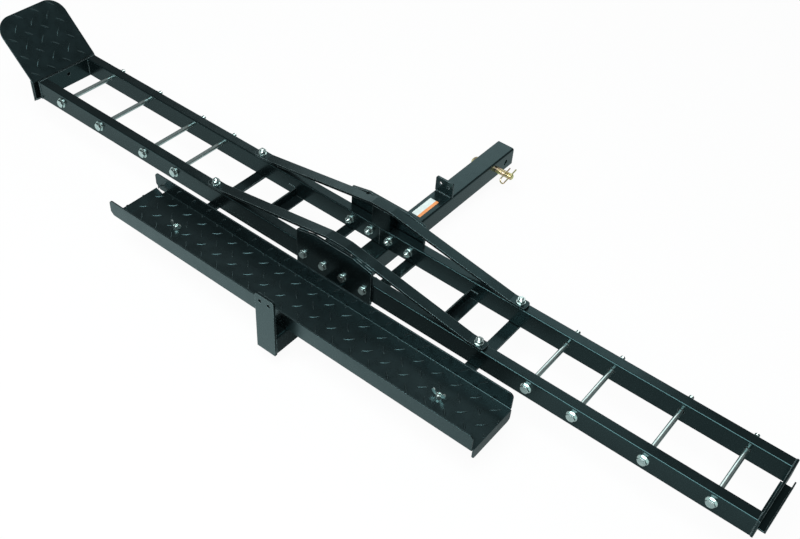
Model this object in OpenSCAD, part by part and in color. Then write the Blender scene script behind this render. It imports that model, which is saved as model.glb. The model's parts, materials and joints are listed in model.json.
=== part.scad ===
// Hitch motorcycle carrier: a drawbar beam, a ladder track that holds both tyres,
// and a tread plate loading ramp stored beside the track.
// X runs along the track, +Y along the beam toward the vehicle, +Z up.
// The origin is on the beam's axis, at the centre of its hitch pin hole.

/* [Hitch beam] */
// Outside width and height of the square drawbar tube
beam_size = 50.8; // [50:0.1:63.5]
// Wall thickness of the drawbar tube
beam_wall = 4.8; // [3:0.1:6]
// Outside corner radius of the drawbar tube
beam_corner = 5; // [2:0.5:8]
// Length of the drawbar tube
beam_length = 877; // [860:1:1000]
// Distance from the open end of the beam to the hitch pin hole
pin_hole_setback = 73; // [65:1:100]
// Distance from the open end of the beam to the spare pin hole
spare_hole_setback = 34; // [20:1:40]
// Diameter of the two cross holes for the hitch pin
pin_hole_d = 16.7; // [16.2:0.1:18]

/* [Beam brackets] */
// Thickness of the upright plate on the beam's outer end
front_plate_t = 6.3; // [4:0.1:10]
// Height of that plate above the top of the beam
front_plate_rise = 105.5; // [100:0.5:140]
// Thickness of the upright plate near the middle of the beam
rear_plate_t = 5; // [3:0.1:8]
// Height of that plate above the top of the beam
rear_plate_rise = 42; // [36:0.5:60]
// Distance from the hitch pin hole back to the middle plate
rear_plate_setback = 196; // [180:1:260]
// Spacing of the two holes in each upright plate
bracket_hole_spacing = 23.5; // [20:0.5:28]
// Diameter of the holes in the upright plates
bracket_hole_d = 9; // [6:0.5:11]
// Distance of those holes below the top edge of their plate
bracket_hole_drop = 16; // [12:0.5:20]
// Corner radius of the upright plates
bracket_corner = 5; // [2:0.5:8]

/* [Track] */
// Distance from the hitch pin hole back to the middle of the track
track_setback = 505; // [480:1:560]
// Half of the length of the track between its end plates
track_half = 993.5; // [980:0.5:1100]
// Clear width between the two rails
channel_w = 127; // [120:1:150]
// Height of a rail tube
rail_h = 50.8; // [48:0.1:60]
// Width of a rail tube
rail_w = 25.4; // [25:0.1:32]
// Wall thickness of a rail tube
rail_wall = 2; // [1.5:0.1:3]
// Outside corner radius of a rail tube
rail_corner = 3; // [2.6:0.1:5]
// Gap between the two halves of a rail where they butt
rail_joint_gap = 0.6; // [0.2:0.1:1.5]
// Thickness of the plates that close the track's ends
end_plate_t = 5; // [3:0.1:6]
// Diameter of the hole in the end plate at the wheel stop
end_hole_d = 10; // [6:0.5:14]
// Height of that hole above the underside of the rails
end_hole_height = 33; // [20:0.5:40]

/* [Rungs] */
// Distances of the rungs from the end of the track, the same at both ends
rung_setbacks = [84.5, 227.2, 385, 492.5];
// Height of the rungs above the underside of the rails
rung_height = 28.8; // [22:0.1:32]
// Diameter of the rungs, which are long bolts
rung_d = 11; // [10:0.5:12]
// Diameter of the rung holes in the rails
rung_hole_d = 14; // [13:0.5:16]
// Width across flats of a rung bolt's head and nut
rung_af = 18; // [17:0.5:20]
// Outside diameter of the rung washers
rung_washer_d = 25; // [22:0.5:28]

/* [Centre joint] */
// Thickness of the splice plates outside the rails
splice_t = 6; // [4:0.1:8]
// Half of the length of a splice plate
splice_half = 105; // [100:1:130]
// Height of a splice plate at its middle
splice_h = 105.5; // [90:0.5:110]
// Half of the length of a splice plate's level top
splice_top_half = 55; // [30:1:90]
// Fall of a splice plate's top toward its ends
splice_fall = 11.5; // [0:0.5:30]
// Depth of the near splice plate's lower edge below the rails
splice_near_drop = 5; // [0:0.5:8]
// Height of the far splice plate's lower edge above the underside of the rails
splice_far_rise = 4; // [0:0.5:8]
// Distances of the splice bolts from the middle of the track
splice_bolt_x = [28, 85];
// Diameter of the splice bolts and of the brace bolts
bolt_d = 10; // [8:0.5:11]
// Clearance of a bolt in its hole, on the diameter
bolt_play = 1; // [0.4:0.1:1.5]
// Width across flats of those bolts' heads and nuts
bolt_af = 16; // [15.5:0.5:17]
// Outside diameter of their washers
bolt_washer_d = 20; // [19:0.5:22]
// Thickness of all washers
washer_t = 2; // [1:0.1:2.5]
// Length of thread left standing past each nut
thread_tail = 5; // [2:0.5:6]
// Distance of the inner cross straps from the middle of the track
inner_strap_x = 89; // [80:1:92]
// Width of the inner cross straps
inner_strap_w = 26; // [20:1:26]
// Thickness of all cross straps
strap_t = 5; // [3:0.1:6]
// Distance of the cross angles from the middle of the track
angle_x = 255; // [200:1:300]
// Leg length of the cross angles
angle_leg = 25.4; // [20:0.1:26]
// Thickness of the cross angles
angle_t = 3; // [2:0.1:4]

/* [Braces] */
// Distance of the brace bolts from the middle of the track
brace_bolt_x = 373.2; // [372:0.1:380]
// Length of a brace's foot past its bolt
brace_foot = 18; // [14:0.5:24]
// Distance from the middle of the track to where a brace leaves the rail
brace_toe_x = 352; // [330:1:354]
// Reach of a brace's flat crown past each end of its post
brace_crown_reach = 2.4; // [1:0.1:12]
// Height of a brace's crown above the rails, which is the height of the posts
brace_rise = 54; // [50:0.5:64]
// Width of a brace
brace_w = 25.4; // [22:0.1:34]
// Thickness of a brace
brace_t = 6.35; // [4:0.05:7]
// Corner radius at the ends of a brace
brace_corner = 8; // [4:0.5:10]
// Length of a post along the track
post_len = 50.8; // [40:0.1:60]

/* [Wheel stop and its pocket] */
// Length of the pocket and width of the wheel stop, across the track
stop_w = 195; // [180:1:200]
// Clear width of the pocket's slot at its mouth
pocket_gap = 16.5; // [14:0.1:20]
// Thickness of the pocket's metal
pocket_t = 4; // [3:0.1:5]
// Depth of the pocket's outer corner below the rails
pocket_drop = 14; // [10:0.5:18]
// Height of the pocket's outer leg above the underside of the rails
pocket_height = 47; // [40:0.5:50]
// Thickness of the wheel stop plate
stop_t = 3; // [2.5:0.1:4]
// Length of the leaning part of the wheel stop along its slope
stop_len = 173; // [140:1:220]
// Corner radius of the wheel stop
stop_corner = 45; // [20:1:70]
// Clearance of the wheel stop where it leans and stands
stop_play = 0.3; // [0.2:0.05:0.5]
// Distance of the wheel stop's tongue from the pocket's outer leg
tongue_gap = 3.5; // [3:0.1:4.5]

/* [Ramp hook channel] */
// Length of the hook channel across the track
hook_len = 127; // [110:1:130]
// Clear width of the hook slot
hook_gap = 12; // [10:0.1:16]
// Height of the hook channel's outer leg above the underside of the rails
hook_height = 19; // [14:0.5:24]
// Thickness of the hook channel
hook_t = 3; // [2:0.1:4]
// Reach of the hook channel's floor inside the end plate
hook_reach = 6.5; // [4:0.5:10]

/* [Loading ramp] */
// Length of the ramp's side flanges
ramp_len = 1016; // [990:1:1040]
// Shift of the ramp along the track from its middle
ramp_shift = -9; // [-15:1:0]
// Overall width of the ramp
ramp_w = 138.2; // [132:0.1:150]
// Height of the ramp's side flanges
ramp_h = 44.3; // [38:0.1:50.8]
// Thickness of the ramp's tread plate
ramp_t = 3; // [2.5:0.1:4]
// Outside bend radius along the ramp's edges
ramp_bend = 5; // [4.5:0.1:8]
// Gap between the ramp and the near rail
ramp_gap = 42; // [20:0.5:60]
// Corner radius at the tops of the flanges
ramp_corner = 10; // [6:0.5:14]
// Corner cut at the lower foot end of the flanges
ramp_foot_cut = 12; // [8:0.5:15]
// Distance from the flanges' foot end to the fold of the foot
foot_fold = 30; // [26:0.5:40]
// Length of the upturned foot
foot_len = 22; // [16:0.5:26]
// Angle of the upturned foot
foot_angle = 20; // [10:1:30]
// Relief gap beside the upturned foot
foot_relief = 9; // [6:0.5:14]
// Depth of the hook lip below the ramp's underside
lip_depth = 27; // [20:0.5:34]
// Reach of the hook lip past the flanges
lip_reach = 3; // [2:0.1:5]
// Distance of the hook lip's ends from the ramp's edges
lip_inset = 5; // [4:0.5:10]
// Corner radius of the hook lip
lip_corner = 9; // [4:0.5:12]
// Diameter of the ramp's studs
stud_d = 8; // [6:0.5:9]
// Shift of the studs off the ramp's middle line, toward its free edge
stud_offset = 5; // [0:0.5:10]
// Height of the studs above the cross straps
stud_height = 20; // [17:0.5:24]
// Clearance of a stud in the ramp's floor, on the diameter
stud_play = 1; // [0.6:0.1:2]
// Width of the outer cross straps that carry the ramp
outer_strap_w = 28; // [22:1:30]
// Length of those straps past the studs
outer_strap_tail = 18; // [14:1:26]

/* [Wing nuts] */
// Diameter of a wing nut's hub at its base
wing_hub_d = 15; // [13:0.5:18]
// Height of a wing nut's hub
wing_hub_h = 8; // [6:0.5:10]
// Span over the wings
wing_span = 34; // [30:0.5:40]
// Height of the wing tips above the hub's base
wing_h = 17; // [14:0.5:20]
// Thickness of a wing
wing_t = 3; // [2:0.1:4]
// Radius of a wing's rounded tip
wing_tip_r = 4.5; // [3:0.5:6]
// Height of a wing nut above the ramp's floor, where it stands on the tread bars
wing_seat = 0.9; // [0:0.1:0.9]
// Running clearance of a wing nut on its stud, on the radius
wing_play = 0.06; // [0.04:0.01:0.1]

/* [Hitch pin and clip] */
// Diameter of the hitch pin
pin_d = 15.9; // [15:0.1:16]
// Distance from the beam's side to the pin's tip
pin_tip = 48; // [44:1:60]
// Distance from the beam's other side to the start of the pin's bend
pin_neck = 4; // [2:0.5:12]
// Bend radius of the pin, at its middle line
pin_bend = 14; // [10:0.5:20]
// Straight length of the pin's handle below the bend
pin_handle = 46; // [30:1:70]
// Diameter of the clip's wire
clip_d = 3.4; // [2.5:0.1:4]
// Clearance of the clip in the pin's cross hole, on the radius
clip_play = 0.1; // [0.05:0.01:0.2]
// Distance of the clip from the pin's tip
clip_setback = 7; // [5:0.5:10]
// Angle by which the clip's straight leg dips away from the vehicle
clip_dip = 12.5; // [0:0.5:20]
// Angle by which the clip's loop leans toward the beam
clip_lean = 38; // [0:1:42]
// Length of the clip's straight leg past the pin's middle, at its tip
clip_tip_len = 27; // [20:1:34]
// Length of the clip's straight leg before its loop
clip_loop_len = 26; // [20:1:34]
// Distance between the clip's two legs
clip_spread = 15; // [14:0.5:18]

/* [Hidden] */
black = "#23292b";
zinc = "#b9c6c4";
yellow_zinc = "#c9b45e";
eps = 0.05;
thread_fit = 0.05;
turn_fn = 48;
deck_z = beam_size / 2;
rung_x = [for (setback = rung_setbacks) track_half - setback];
brace_crown_half = post_len / 2 + brace_crown_reach;
beam_end_y = pin_hole_setback;
beam_foot_y = pin_hole_setback - beam_length;
rail_out = channel_w / 2 + rail_w;
rail_mid = channel_w / 2 + rail_w / 2;
splice_out = rail_out + splice_t;
end_out = track_half + end_plate_t;
brace_slope = atan(brace_rise / (brace_toe_x - brace_crown_half));
brace_grip = brace_t + rail_h + strap_t;
ramp_mid = rail_out + ramp_gap + ramp_w / 2;
ramp_foot_x = ramp_shift - ramp_len / 2;
ramp_lip_x = ramp_shift + ramp_len / 2;
stud_y = -ramp_mid - stud_offset;
stop_lean = 45;
pin_tip_x = beam_size / 2 + pin_tip;
clip_x = pin_tip_x - clip_setback;
bolt_head_h = bolt_d * 0.64;
bolt_nut_h = bolt_d * 0.8;
rung_head_h = rung_d * 0.64;
rung_nut_h = rung_d * 0.85;

// Frames of reference

module on_deck() {
    translate([0, -track_setback, deck_z]) children();
}

// The near side as drawn, or its mirror image across the track for the far side
module track_side(far) {
    mirror([0, far ? 1 : 0, 0]) children();
}

// Turns a shape that stands along Z so that it points along +Y
module along_y() {
    rotate([-90, 0, 0]) children();
}

// Profiles

module rounded_rect(w, h, r) {
    square([w - 2 * r, h], center = true);
    square([w, h - 2 * r], center = true);
    for (sx = [-1, 1], sy = [-1, 1])
        translate([sx * (w / 2 - r), sy * (h / 2 - r)]) circle(r = r, $fn = turn_fn);
}

module tube_profile(w, h, wall, r) {
    difference() {
        rounded_rect(w, h, r);
        rounded_rect(w - 2 * wall, h - 2 * wall, max(r - wall, 0.4));
    }
}

// A plate seen from its face, standing on y = 0, with its two upper corners rounded
module tab_profile(w, h, r) {
    translate([-w / 2, 0]) square([w, h - r]);
    translate([-w / 2 + r, h - r - eps]) square([w - 2 * r, r + eps]);
    for (s = [-1, 1]) translate([s * (w / 2 - r), h - r]) circle(r = r, $fn = turn_fn);
}

// Fasteners, each standing along +Z from the face that it bears on

// A hexagonal block whose outer corners are turned down by a cone
module hex_block(af, h) {
    corner = af / 2 / cos(30);
    intersection() {
        cylinder(r = corner, h = h, $fn = 6);
        cylinder(r1 = corner + h * 1.2, r2 = af / 2 - 0.3, h = h, $fn = turn_fn);
    }
}

module bolt(d, af, head_h, length) {
    hex_block(af, head_h);
    translate([0, 0, -length]) cylinder(d = d, h = length + eps, $fn = turn_fn);
}

module washer(d_out, d_in) {
    difference() {
        cylinder(d = d_out, h = washer_t, $fn = turn_fn);
        translate([0, 0, -1]) cylinder(d = d_in, h = washer_t + 2, $fn = turn_fn);
    }
}

module nut(af, h, d) {
    difference() {
        hex_block(af, h);
        translate([0, 0, -1]) cylinder(d = d + 2 * thread_fit, h = h + 2, $fn = turn_fn);
    }
}

// Hitch beam and its brackets

module beam() {
    color(black) difference() {
        translate([0, beam_foot_y, 0]) along_y() linear_extrude(beam_length)
            tube_profile(beam_size, beam_size, beam_wall, beam_corner);
        for (y = [0, beam_end_y - spare_hole_setback]) translate([-beam_size, y, 0])
            rotate([0, 90, 0]) cylinder(d = pin_hole_d, h = 2 * beam_size, $fn = turn_fn);
    }
}

// An upright plate, from the height given up to rise above the beam, with two holes
module upright_plate(t, low_z, rise) {
    difference() {
        translate([0, t, low_z]) rotate([90, 0, 0]) linear_extrude(t)
            tab_profile(beam_size, deck_z + rise - low_z, bracket_corner);
        for (s = [-1, 1])
            translate([s * bracket_hole_spacing / 2, -1, deck_z + rise - bracket_hole_drop])
                along_y() cylinder(d = bracket_hole_d, h = t + 2, $fn = turn_fn);
    }
}

module front_bracket() {
    color(black) translate([0, beam_foot_y - front_plate_t, 0])
        upright_plate(front_plate_t, -beam_size / 2, front_plate_rise);
}

module rear_bracket() {
    color(black) translate([0, -rear_plate_setback, 0])
        upright_plate(rear_plate_t, deck_z, rear_plate_rise);
}

// Rails

module rail(left) {
    mirror([left ? 1 : 0, 0, 0]) difference() {
        translate([rail_joint_gap / 2, -rail_mid, rail_h / 2]) rotate([90, 0, 90])
            linear_extrude(track_half - rail_joint_gap / 2)
                tube_profile(rail_w, rail_h, rail_wall, rail_corner);
        for (x = rung_x) translate([x, -rail_out - 1, rung_height])
            along_y() cylinder(d = rung_hole_d, h = rail_w + 2, $fn = turn_fn);
        for (x = splice_bolt_x) translate([x, -rail_out - 1, rung_height])
            along_y() cylinder(d = bolt_d + bolt_play, h = rail_w + 2, $fn = turn_fn);
        translate([brace_bolt_x, -rail_mid, -1])
            cylinder(d = bolt_d + bolt_play, h = rail_h + 2, $fn = turn_fn);
    }
}

module rail_near_left() {
    color(black) on_deck() rail(true);
}

module rail_near_right() {
    color(black) on_deck() rail(false);
}

module rail_far_left() {
    color(black) on_deck() track_side(true) rail(true);
}

module rail_far_right() {
    color(black) on_deck() track_side(true) rail(false);
}

module end_plate_left() {
    color(black) on_deck() difference() {
        translate([-end_out, -rail_out, 0]) cube([end_plate_t, 2 * rail_out, rail_h]);
        translate([-end_out - 1, 0, end_hole_height]) rotate([0, 90, 0])
            cylinder(d = end_hole_d, h = end_plate_t + 2, $fn = turn_fn);
    }
}

module end_plate_right() {
    color(black) on_deck() translate([track_half, -rail_out, 0])
        cube([end_plate_t, 2 * rail_out, rail_h]);
}

// Centre joint: splice plates, cross straps, cross angles and posts

// A plate outside the near rail, its lower edge at the height low, cut clear of the beam
module splice_plate(low) {
    top = low + splice_h;
    clear_half = beam_size / 2 + 1;
    color(black) on_deck() difference() {
        translate([0, -rail_out, 0]) rotate([90, 0, 0]) linear_extrude(splice_t) polygon([
            [-splice_half, low], [splice_half, low], [splice_half, top - splice_fall],
            [splice_top_half, top], [-splice_top_half, top],
            [-splice_half, top - splice_fall]]);
        for (s = [-1, 1], x = splice_bolt_x) translate([s * x, -splice_out - 1, rung_height])
            along_y() cylinder(d = bolt_d + bolt_play, h = splice_t + 2, $fn = turn_fn);
        translate([-clear_half, -splice_out - 1, -beam_size])
            cube([2 * clear_half, splice_t + 2, beam_size]);
    }
}

module splice_plate_near() {
    splice_plate(-splice_near_drop);
}

module splice_plate_far() {
    translate([0, -2 * track_setback, 0]) mirror([0, 1, 0]) splice_plate(splice_far_rise);
}

module inner_straps() {
    color(black) on_deck() for (s = [-1, 1])
        translate([s * inner_strap_x - inner_strap_w / 2, -rail_out, -strap_t])
            cube([inner_strap_w, 2 * rail_out, strap_t]);
}

module outer_strap() {
    difference() {
        translate([brace_bolt_x - outer_strap_w / 2, stud_y - outer_strap_tail, -strap_t])
            cube([outer_strap_w, rail_out - stud_y + outer_strap_tail, strap_t]);
        for (s = [-1, 1]) translate([brace_bolt_x, s * rail_mid, -strap_t - 1])
            cylinder(d = bolt_d + bolt_play, h = strap_t + 2, $fn = turn_fn);
        translate([brace_bolt_x, stud_y, -strap_t - 1])
            cylinder(d = stud_d + 2 * thread_fit, h = strap_t + 2, $fn = turn_fn);
    }
}

module outer_strap_left() {
    color(black) on_deck() mirror([1, 0, 0]) outer_strap();
}

module outer_strap_right() {
    color(black) on_deck() outer_strap();
}

module cross_angles() {
    color(black) on_deck() for (s = [-1, 1])
        translate([s * angle_x - angle_t / 2, channel_w / 2, 0]) rotate([90, 0, 0])
            linear_extrude(channel_w) difference() {
                square([angle_leg, angle_leg]);
                translate([angle_t, angle_t]) square([angle_leg, angle_leg]);
            }
}

module post() {
    color(black) on_deck() translate([0, -rail_mid, rail_h]) linear_extrude(brace_rise)
        tube_profile(post_len, rail_w, rail_wall, rail_corner);
}

module post_near() {
    post();
}

module post_far() {
    translate([0, -2 * track_setback, 0]) mirror([0, 1, 0]) post();
}

// Braces

module brace() {
    foot_x = brace_bolt_x + brace_foot;
    low = rail_h;
    high = rail_h + brace_rise;
    color(black) on_deck() translate([0, -rail_mid, 0]) difference() {
        intersection() {
            translate([0, brace_w / 2, 0]) rotate([90, 0, 0]) linear_extrude(brace_w) polygon([
                [-foot_x, low], [-brace_toe_x, low], [-brace_crown_half, high],
                [brace_crown_half, high], [brace_toe_x, low], [foot_x, low],
                [foot_x, low + brace_t], [brace_toe_x, low + brace_t],
                [brace_crown_half, high + brace_t], [-brace_crown_half, high + brace_t],
                [-brace_toe_x, low + brace_t], [-foot_x, low + brace_t]]);
            translate([0, 0, low - 1]) linear_extrude(brace_rise + brace_t + 2)
                rounded_rect(2 * foot_x, brace_w, brace_corner);
        }
        for (s = [-1, 1]) translate([s * brace_bolt_x, 0, low - 1])
            cylinder(d = bolt_d + bolt_play, h = brace_t + 2, $fn = turn_fn);
    }
}

module brace_near() {
    brace();
}

module brace_far() {
    translate([0, -2 * track_setback, 0]) mirror([0, 1, 0]) brace();
}

// Rungs: long bolts from the near rail's outside to the far rail's outside

module at_rungs(y) {
    on_deck() for (s = [-1, 1], x = rung_x) translate([s * x, y, rung_height]) children();
}

module rung_bolts() {
    length = 2 * rail_out + 2 * washer_t + rung_nut_h + thread_tail;
    color(zinc) at_rungs(-rail_out - washer_t) rotate([90, 0, 0])
        bolt(rung_d, rung_af, rung_head_h, length);
}

module rung_washers() {
    color(zinc) {
        at_rungs(-rail_out) rotate([90, 0, 0]) washer(rung_washer_d, rung_d + 0.6);
        at_rungs(rail_out) along_y() washer(rung_washer_d, rung_d + 0.6);
    }
}

module rung_nuts() {
    color(zinc) at_rungs(rail_out + washer_t) along_y() nut(rung_af, rung_nut_h, rung_d);
}

// Splice bolts: heads outside the splice plates, nuts inside the track

module at_splice_bolts(y) {
    on_deck() for (far = [false, true]) track_side(far) for (s = [-1, 1], x = splice_bolt_x)
        translate([s * x, -y, rung_height]) children();
}

module splice_bolts() {
    length = splice_t + rail_w + 2 * washer_t + bolt_nut_h + thread_tail;
    color(zinc) at_splice_bolts(splice_out + washer_t) rotate([90, 0, 0])
        bolt(bolt_d, bolt_af, bolt_head_h, length);
}

module splice_washers() {
    color(zinc) {
        at_splice_bolts(channel_w / 2) along_y() washer(bolt_washer_d, bolt_d + 0.6);
        at_splice_bolts(splice_out) rotate([90, 0, 0]) washer(bolt_washer_d, bolt_d + 0.6);
    }
}

module splice_nuts() {
    color(zinc) at_splice_bolts(channel_w / 2 - washer_t) along_y()
        nut(bolt_af, bolt_nut_h, bolt_d);
}

// Brace bolts: heads under the outer cross straps, nuts on top of the braces

module at_brace_bolts(z) {
    on_deck() for (sx = [-1, 1], sy = [-1, 1])
        translate([sx * brace_bolt_x, sy * rail_mid, z]) children();
}

module brace_bolts() {
    color(zinc) at_brace_bolts(-strap_t) mirror([0, 0, 1])
        bolt(bolt_d, bolt_af, bolt_head_h, brace_grip + washer_t + bolt_nut_h + thread_tail);
}

module brace_washers() {
    color(zinc) at_brace_bolts(rail_h + brace_t) washer(bolt_washer_d, bolt_d + 0.6);
}

module brace_nuts() {
    color(zinc) at_brace_bolts(rail_h + brace_t + washer_t) nut(bolt_af, bolt_nut_h, bolt_d);
}

// Wheel stop and its pocket

// Height of a sloping strip's upper face over its lower face
function upright_share(t, run, drop) = t * sqrt(run * run + drop * drop) / run;

module stop_pocket() {
    reach = pocket_gap + pocket_t;
    floor_h = upright_share(pocket_t, reach, pocket_drop);
    color(black) on_deck() translate([-end_out, stop_w / 2, 0]) mirror([1, 0, 0])
        rotate([90, 0, 0]) linear_extrude(stop_w) polygon([
            [0, 0], [reach, -pocket_drop], [reach, pocket_height], [pocket_gap, pocket_height],
            [pocket_gap, floor_h - pocket_drop * pocket_gap / reach], [0, floor_h]]);
}

// The leaning plate touches the pocket's outer leg at its upper inside edge.
// The tongue hangs from it into the slot and stops above the pocket's floor.
module wheel_stop() {
    reach = pocket_gap + pocket_t;
    tongue_out = pocket_gap - tongue_gap;
    tongue_in = tongue_out - stop_t;
    // Heights at which the faces of the leaning plate meet those of the tongue
    knee_out = pocket_height - tongue_gap + stop_play * sqrt(2);
    knee_in = knee_out + stop_t * (sqrt(2) - 1);
    floor_h = upright_share(pocket_t, reach, pocket_drop);
    tongue_foot = floor_h - pocket_drop * tongue_in / reach + stop_play;
    color(black) on_deck() translate([-end_out, 0, 0]) mirror([1, 0, 0]) {
        translate([0, stop_w / 2, 0]) rotate([90, 0, 0]) linear_extrude(stop_w) polygon([
            [tongue_in, tongue_foot], [tongue_out, tongue_foot],
            [tongue_out, knee_out], [tongue_in, knee_in]]);
        translate([tongue_in, 0, knee_in]) rotate([0, stop_lean, 0]) rotate([90, 0, 90])
            linear_extrude(stop_t) tab_profile(stop_w, stop_len, stop_corner);
    }
}

// Hook channel for the ramp's lip

module ramp_hook_channel() {
    color(black) on_deck() translate([end_out, hook_len / 2, 0]) rotate([90, 0, 0])
        linear_extrude(hook_len) polygon([
            [-end_plate_t - hook_reach, -hook_t], [hook_gap + hook_t, -hook_t],
            [hook_gap + hook_t, hook_height], [hook_gap, hook_height], [hook_gap, 0],
            [-end_plate_t - hook_reach, 0]]);
}

// Loading ramp

module ramp_profile() {
    difference() {
        rounded_rect(ramp_w, 2 * ramp_h, ramp_bend);
        rounded_rect(ramp_w - 2 * ramp_t, 2 * ramp_h - 2 * ramp_t, ramp_bend - ramp_t);
        translate([-ramp_w, 0]) square([2 * ramp_w, ramp_h + 1]);
    }
}

// Side view of the flanges, with rounded tops and a cut foot
module flange_profile() {
    difference() {
        translate([ramp_foot_x, 0]) square([ramp_len, ramp_h]);
        translate([ramp_foot_x, 0]) rotate(45) square(ramp_foot_cut * sqrt(2), center = true);
        translate([ramp_foot_x, ramp_h]) flange_corner();
        translate([ramp_lip_x, ramp_h]) mirror([1, 0]) flange_corner();
    }
}

module flange_corner() {
    difference() {
        translate([-1, -ramp_corner]) square([ramp_corner + 1, ramp_corner + 1]);
        translate([ramp_corner, -ramp_corner]) circle(r = ramp_corner, $fn = turn_fn);
    }
}

module ramp_foot() {
    w = ramp_w - 2 * ramp_t - 2 * foot_relief;
    translate([ramp_foot_x + foot_fold, -w / 2, 0]) rotate([0, foot_angle, 0])
        translate([-foot_len, 0, 0]) cube([foot_len + ramp_t * sin(foot_angle), w, ramp_t]);
}

module ramp_lip() {
    w = ramp_w - 2 * lip_inset;
    translate([ramp_lip_x - ramp_t, -w / 2, 0]) cube([ramp_t + lip_reach, w, ramp_t]);
    translate([ramp_lip_x + lip_reach, 0, ramp_t]) rotate([0, 0, 90]) rotate([-90, 0, 0])
        linear_extrude(ramp_t) tab_profile(w, lip_depth + ramp_t, lip_corner);
}

module ramp() {
    color(black) on_deck() translate([0, -ramp_mid, 0]) difference() {
        union() {
            difference() {
                intersection() {
                    translate([ramp_foot_x - 1, 0, ramp_h]) rotate([90, 0, 90])
                        linear_extrude(ramp_len + 2) ramp_profile();
                    translate([0, ramp_w, 0]) rotate([90, 0, 0]) linear_extrude(2 * ramp_w)
                        flange_profile();
                }
                translate([ramp_foot_x - 1, -ramp_w / 2 + ramp_t, -1])
                    cube([foot_fold + 1, ramp_w - 2 * ramp_t, ramp_h]);
            }
            ramp_foot();
            ramp_lip();
        }
        for (s = [-1, 1]) translate([s * brace_bolt_x, -stud_offset, -1])
            cylinder(d = stud_d + stud_play, h = ramp_t + 2, $fn = turn_fn);
    }
}

module ramp_studs() {
    color(zinc) on_deck() for (s = [-1, 1])
        translate([s * brace_bolt_x, stud_y, -strap_t]) mirror([0, 0, 1])
            bolt(stud_d, bolt_af - 3, bolt_head_h - 1, strap_t + stud_height);
}

module wing_outline() {
    hull() {
        translate([wing_hub_d / 2 - 3, 1]) square([1, wing_hub_h - 2]);
        translate([wing_span / 2 - wing_tip_r, wing_h - wing_tip_r])
            circle(r = wing_tip_r, $fn = 32);
    }
}

module wing_nut() {
    on_deck() translate([brace_bolt_x, stud_y, ramp_t + wing_seat]) difference() {
        union() {
            cylinder(d1 = wing_hub_d, d2 = wing_hub_d - 3, h = wing_hub_h, $fn = turn_fn);
            for (a = [0, 180]) rotate([0, 0, a]) translate([0, wing_t / 2, 0])
                rotate([90, 0, 0]) linear_extrude(wing_t) wing_outline();
        }
        translate([0, 0, -1]) cylinder(r = stud_d / 2 + wing_play, h = wing_h + 2, $fn = turn_fn);
    }
}

module wing_nut_left() {
    color(zinc) translate([-2 * brace_bolt_x, 0, 0]) wing_nut();
}

module wing_nut_right() {
    color(zinc) wing_nut();
}

// Hitch pin and its hairpin clip

module hitch_pin() {
    bend_x = -beam_size / 2 - pin_neck;
    color(yellow_zinc) difference() {
        union() {
            translate([bend_x, 0, 0]) rotate([0, 90, 0])
                cylinder(d = pin_d, h = pin_tip_x - bend_x - 2, $fn = turn_fn);
            translate([pin_tip_x - 2, 0, 0]) rotate([0, 90, 0])
                cylinder(d1 = pin_d, d2 = pin_d - 4, h = 2, $fn = turn_fn);
            translate([bend_x, 0, -pin_bend]) rotate([90, 0, 0]) rotate([0, 0, 90])
                rotate_extrude(angle = 90, $fn = turn_fn)
                    translate([pin_bend, 0]) circle(d = pin_d, $fn = turn_fn);
            translate([bend_x - pin_bend, 0, -pin_bend - pin_handle])
                cylinder(d = pin_d, h = pin_handle, $fn = turn_fn);
        }
        translate([clip_x, 0, 0]) rotate([90 + clip_dip, 0, 0])
            cylinder(r = clip_d / 2 + clip_play, h = 2 * pin_d, center = true, $fn = turn_fn);
    }
}

// The clip lies in its own plane: the straight leg along y, the return leg above it
module hairpin_clip() {
    loop_r = clip_spread / 2;
    color(yellow_zinc) translate([clip_x, 0, 0]) rotate([clip_dip, 0, 0])
        rotate([0, -clip_lean, 0]) {
            translate([0, clip_tip_len, 0]) rotate([90, 0, 0])
                cylinder(d = clip_d, h = clip_tip_len + clip_loop_len, $fn = 24);
            translate([0, -clip_loop_len, loop_r]) rotate([90, 0, 90]) rotate([0, 0, 90])
                rotate_extrude(angle = 180, $fn = 24)
                    translate([loop_r, 0]) circle(d = clip_d, $fn = 24);
            translate([0, -clip_loop_len, clip_spread]) rotate([-90, 0, 0])
                cylinder(d = clip_d, h = clip_loop_len + clip_tip_len / 2, $fn = 24);
        }
}

beam();
front_bracket();
rear_bracket();
splice_plate_near();
splice_plate_far();
inner_straps();
outer_strap_left();
outer_strap_right();
cross_angles();
rail_near_left();
rail_near_right();
rail_far_left();
rail_far_right();
end_plate_left();
end_plate_right();
stop_pocket();
ramp_hook_channel();
post_near();
post_far();
brace_near();
brace_far();
rung_bolts();
rung_washers();
rung_nuts();
splice_bolts();
splice_washers();
splice_nuts();
brace_bolts();
brace_washers();
brace_nuts();
ramp();
ramp_studs();
wing_nut_left();
wing_nut_right();
wheel_stop();
hitch_pin();
hairpin_clip();
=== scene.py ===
"""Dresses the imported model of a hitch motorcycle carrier: its finishes, tread, threads, welds and studio."""

import json
import logging
import math
from dataclasses import dataclass, field
from enum import Enum
from typing import Any, Callable, Iterator

import bmesh
import bpy
from mathutils import Matrix, Vector


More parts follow.
